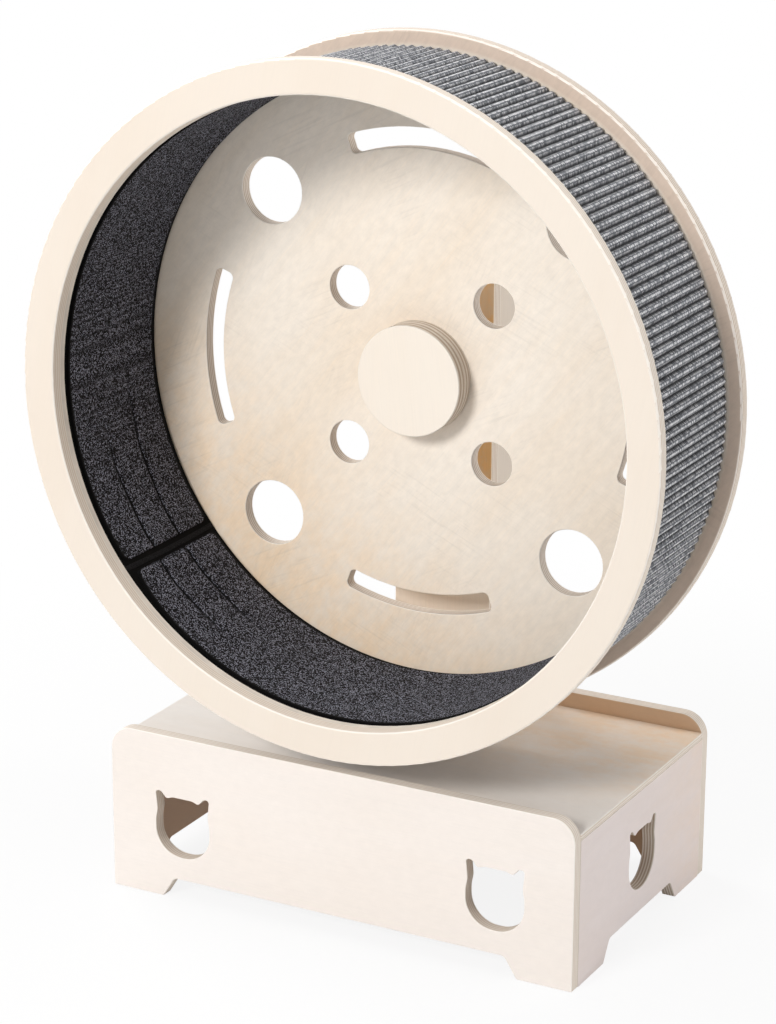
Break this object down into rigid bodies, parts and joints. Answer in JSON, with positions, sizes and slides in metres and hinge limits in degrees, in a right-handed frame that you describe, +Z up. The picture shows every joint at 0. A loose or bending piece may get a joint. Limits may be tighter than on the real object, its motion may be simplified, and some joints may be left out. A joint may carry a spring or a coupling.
{
  "type": "cat exercise wheel",
  "caption": "Carpet-lined plywood running drum, open at the front, turning on an axle held by a box column on a low box base with cut-out feet.",
  "frame": {"origin": "on the floor, under the middle of the whole object's width and depth", "axes": "+Z up, +Y from the wheel's open front to the back board, +X to the right seen from the front"},
  "size_m": [0.9, 0.446, 1.156],
  "materials": {
    "birch_ply": "clear-coated birch plywood",
    "base_ply": "clear-coated birch plywood",
    "inner_wood": "bare sawn wood",
    "mat_pile": "speckled charcoal needle-felt carpet",
    "ribbed_carpet": "ribbed looped carpet, grey",
    "bare_steel": "turned and ground",
    "zinc_steel": "zinc plated",
    "aluminium": "turned",
    "bearing_steel": "polished",
    "cage_brass": "satin"
  },
  "bodies": {
    "stand": {"front_board": "base_ply", "back_board": "base_ply", "left_side_board": "base_ply", "right_side_board": "base_ply", "top_panel": "base_ply", "left_brace": "inner_wood", "right_brace": "inner_wood", "block_screws": "zinc_steel", "cleat_screws": "zinc_steel", "brace_screws": "zinc_steel", "front_left_corner_block": "inner_wood", "front_left_cleat": "inner_wood", "back_left_corner_block": "inner_wood", "back_left_cleat": "inner_wood", "front_right_corner_block": "inner_wood", "front_right_cleat": "inner_wood", "back_right_corner_block": "inner_wood", "back_right_cleat": "inner_wood", "column_front_plate": "base_ply", "column_back_plate": "base_ply", "column_left_plate": "base_ply", "column_right_plate": "base_ply", "column_cap": "base_ply", "front_axle_block": "inner_wood", "rear_axle_block": "inner_wood", "column_screws": "zinc_steel", "column_bolts": "zinc_steel", "column_washers": "zinc_steel", "column_nuts": "zinc_steel", "axle": "bare_steel", "axle_flange": "bare_steel", "coach_screws": "zinc_steel", "axle_front_washer": "zinc_steel", "axle_front_nut": "zinc_steel", "axle_rear_washer": "zinc_steel", "axle_rear_nut": "zinc_steel", "bearing_spacer": "aluminium", "front_bearing_inner_race": "bearing_steel", "rear_bearing_inner_race": "bearing_steel"},
    "wheel": {"front_ring": "birch_ply", "front_hoop": "birch_ply", "running_mat": "mat_pile", "outer_carpet": "ribbed_carpet", "back_disc": "birch_ply", "hub_ring": "birch_ply", "hub_cap": "birch_ply", "hub_sleeve": "aluminium", "front_bearing_outer_race": "bearing_steel", "rear_bearing_outer_race": "bearing_steel", "hub_bolts": "zinc_steel", "hub_washers": "zinc_steel", "hub_nuts": "zinc_steel", "shell_panel_1": "birch_ply", "shell_panel_2": "birch_ply", "shell_panel_3": "birch_ply", "shell_panel_4": "birch_ply"},
    "ball_cages": {"front_bearing_cage": "cage_brass", "front_bearing_balls": "bearing_steel", "rear_bearing_cage": "cage_brass", "rear_bearing_balls": "bearing_steel"}
  },
  "joints": [
    {"name": "wheel_spin", "type": "hinge", "parent": "stand", "child": "wheel", "pos_m": [0, 0, 0.706], "axis": [0, 1, 0], "continuous": true},
    {"name": "cage_spin", "type": "hinge", "parent": "stand", "child": "ball_cages", "pos_m": [0, 0, 0.706], "axis": [0, 1, 0], "continuous": true}
  ],
  "couplings": [
    {"joint": "cage_spin", "follows": "wheel_spin", "ratio": 0.6185}
  ]
}
